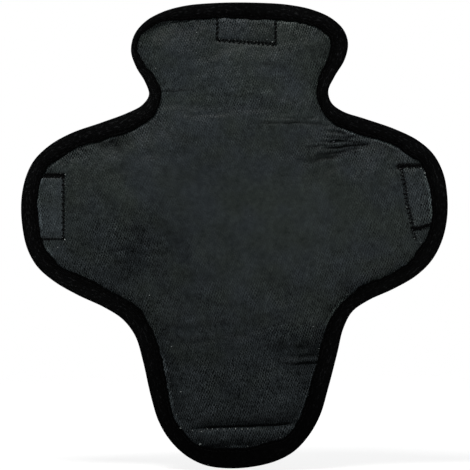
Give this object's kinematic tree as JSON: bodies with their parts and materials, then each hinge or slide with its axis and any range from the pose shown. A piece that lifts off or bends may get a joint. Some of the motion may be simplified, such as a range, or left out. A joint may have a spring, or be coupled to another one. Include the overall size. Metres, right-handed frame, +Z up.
{
  "type": "kick shield",
  "caption": "Thin cross-shaped training pad with a bound rim, stitched strap anchors, an adjustable forearm strap and a padded hand loop on its back.",
  "frame": {"origin": "under the middle of the whole shield, strap included, at the height of its lowest edge", "axes": "+Z up the pad's height towards its top lobe, -Y out of the struck face, +Y out of the strap side, +X to the right when looking at the struck face"},
  "size_m": [0.3405, 0.0708, 0.3718],
  "materials": {
    "lining": "satin",
    "back_lining": "matte",
    "binding_tape": "matte",
    "foam": "matte",
    "core_foam": "matte",
    "backing": "matte",
    "thread": "satin",
    "webbing": "satin",
    "loop_pile": "matte",
    "hook_tape": "matte",
    "ring_metal": "satin",
    "sleeve_cloth": "matte"
  },
  "bodies": {
    "shield": {"front_cover": "lining", "front_foam": "foam", "impact_core": "core_foam", "back_cover": "back_lining", "edge_binding": "binding_tape", "lower_edge_roll": "foam", "top_backing_patch": "backing", "left_backing_patch": "backing", "right_backing_patch": "backing", "top_box_thread": "thread", "left_box_thread": "thread", "right_box_thread": "thread", "lower_seam_thread": "thread", "forearm_strap": "webbing", "strap_loop_patch": "loop_pile", "ring_tab": "webbing", "hand_loop_anchor": "webbing"},
    "ring": {"strap_ring": "ring_metal"},
    "tail": {"strap_tail": "webbing", "tail_hook_patch": "hook_tape", "tail_end_binding": "binding_tape"},
    "loop": {"hand_loop": "webbing", "grip_sleeve": "sleeve_cloth"}
  },
  "joints": [
    {"name": "tail_peel", "type": "hinge", "parent": "shield", "child": "tail", "pos_m": [0.11126, 0.00092, 0.21551], "axis": [0.028, 0, -0.9996], "range_deg": [0, 150]},
    {"name": "ring_tilt", "type": "hinge", "parent": "shield", "child": "ring", "pos_m": [0.12488, -0.0135, 0.2159], "axis": [0.028, 0, -0.9996], "range_deg": [-5, 5]},
    {"name": "hand_loop_swing", "type": "hinge", "parent": "shield", "child": "loop", "pos_m": [0.0096, -0.01541, 0.33845], "axis": [1, 0, 0], "range_deg": [0, 110]}
  ]
}
